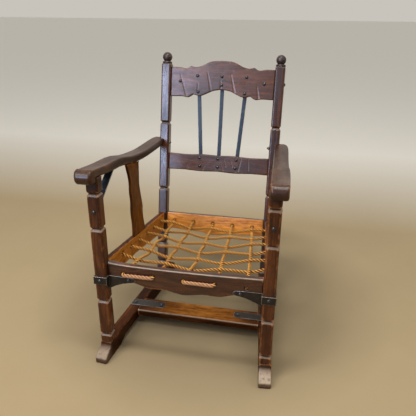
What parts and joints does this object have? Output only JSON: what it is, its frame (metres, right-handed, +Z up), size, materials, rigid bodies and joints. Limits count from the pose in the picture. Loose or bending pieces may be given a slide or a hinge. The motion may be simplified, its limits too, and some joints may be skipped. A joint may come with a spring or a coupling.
{
  "type": "rope seat armchair",
  "caption": "Low rustic wooden armchair on sled runners, with a raked back of shaped rails and iron bars, rolled arms, iron corner straps and an open laced rope seat for a cushion.",
  "frame": {"origin": "bottom centre of the bounding box: on the floor, midway between the arms and between the runners' toes and the back of the finials", "axes": "+Z up; the sitter faces -Y; +X is to the right of someone who looks at the chair from the front"},
  "size_m": [0.6186, 0.7474, 0.9558],
  "materials": {
    "dark_wood": "dark brown stain under glossy varnish, worn light at the edges",
    "amber_wood": "amber varnished wood, unstained on the inner faces",
    "blackened_iron": "blackened forged iron, satin",
    "rope": "three-strand twisted natural fibre rope, golden brown"
  },
  "bodies": {
    "root": {"arm_bolt_left": "blackened_iron", "arm_bolt_right": "blackened_iron", "arm_brace_left": "blackened_iron", "arm_brace_right": "blackened_iron", "arm_left": "dark_wood", "arm_right": "dark_wood", "arm_splat_left": "dark_wood", "arm_splat_right": "dark_wood", "back_bar_centre": "blackened_iron", "back_bar_left": "blackened_iron", "back_bar_right": "blackened_iron", "crest_end_nail_left": "blackened_iron", "crest_end_nail_right": "blackened_iron", "crest_nail_centre_high": "blackened_iron", "crest_nail_centre_low": "blackened_iron", "crest_nail_left_high": "blackened_iron", "crest_nail_left_low": "blackened_iron", "crest_nail_right_high": "blackened_iron", "crest_nail_right_low": "blackened_iron", "crest_rail": "dark_wood", "finial_left": "dark_wood", "finial_right": "dark_wood", "front_leg_left": "dark_wood", "front_leg_right": "dark_wood", "front_seat_rail": "dark_wood", "front_strap_left": "blackened_iron", "front_strap_nail_left_leg": "blackened_iron", "front_strap_nail_left_rail": "blackened_iron", "front_strap_nail_right_leg": "blackened_iron", "front_strap_nail_right_rail": "blackened_iron", "front_strap_right": "blackened_iron", "leg_nail_left": "blackened_iron", "leg_nail_right": "blackened_iron", "lower_back_rail": "dark_wood", "lower_rail_nail_centre_high": "blackened_iron", "lower_rail_nail_centre_low": "blackened_iron", "lower_rail_nail_left_high": "blackened_iron", "lower_rail_nail_left_low": "blackened_iron", "lower_rail_nail_right_high": "blackened_iron", "lower_rail_nail_right_low": "blackened_iron", "post_nail_left": "blackened_iron", "post_nail_right": "blackened_iron", "rear_post_left": "dark_wood", "rear_post_right": "dark_wood", "rear_seat_rail": "amber_wood", "runner_left": "dark_wood", "runner_right": "dark_wood", "seat_rope_crosswise": "rope", "seat_rope_lengthwise": "rope", "side_seat_rail_left": "amber_wood", "side_seat_rail_right": "amber_wood", "stretcher_board": "dark_wood", "stretcher_nail_left_board": "blackened_iron", "stretcher_nail_left_runner": "blackened_iron", "stretcher_nail_right_board": "blackened_iron", "stretcher_nail_right_runner": "blackened_iron", "stretcher_strap_left": "blackened_iron", "stretcher_strap_right": "blackened_iron"}
  },
  "joints": []
}
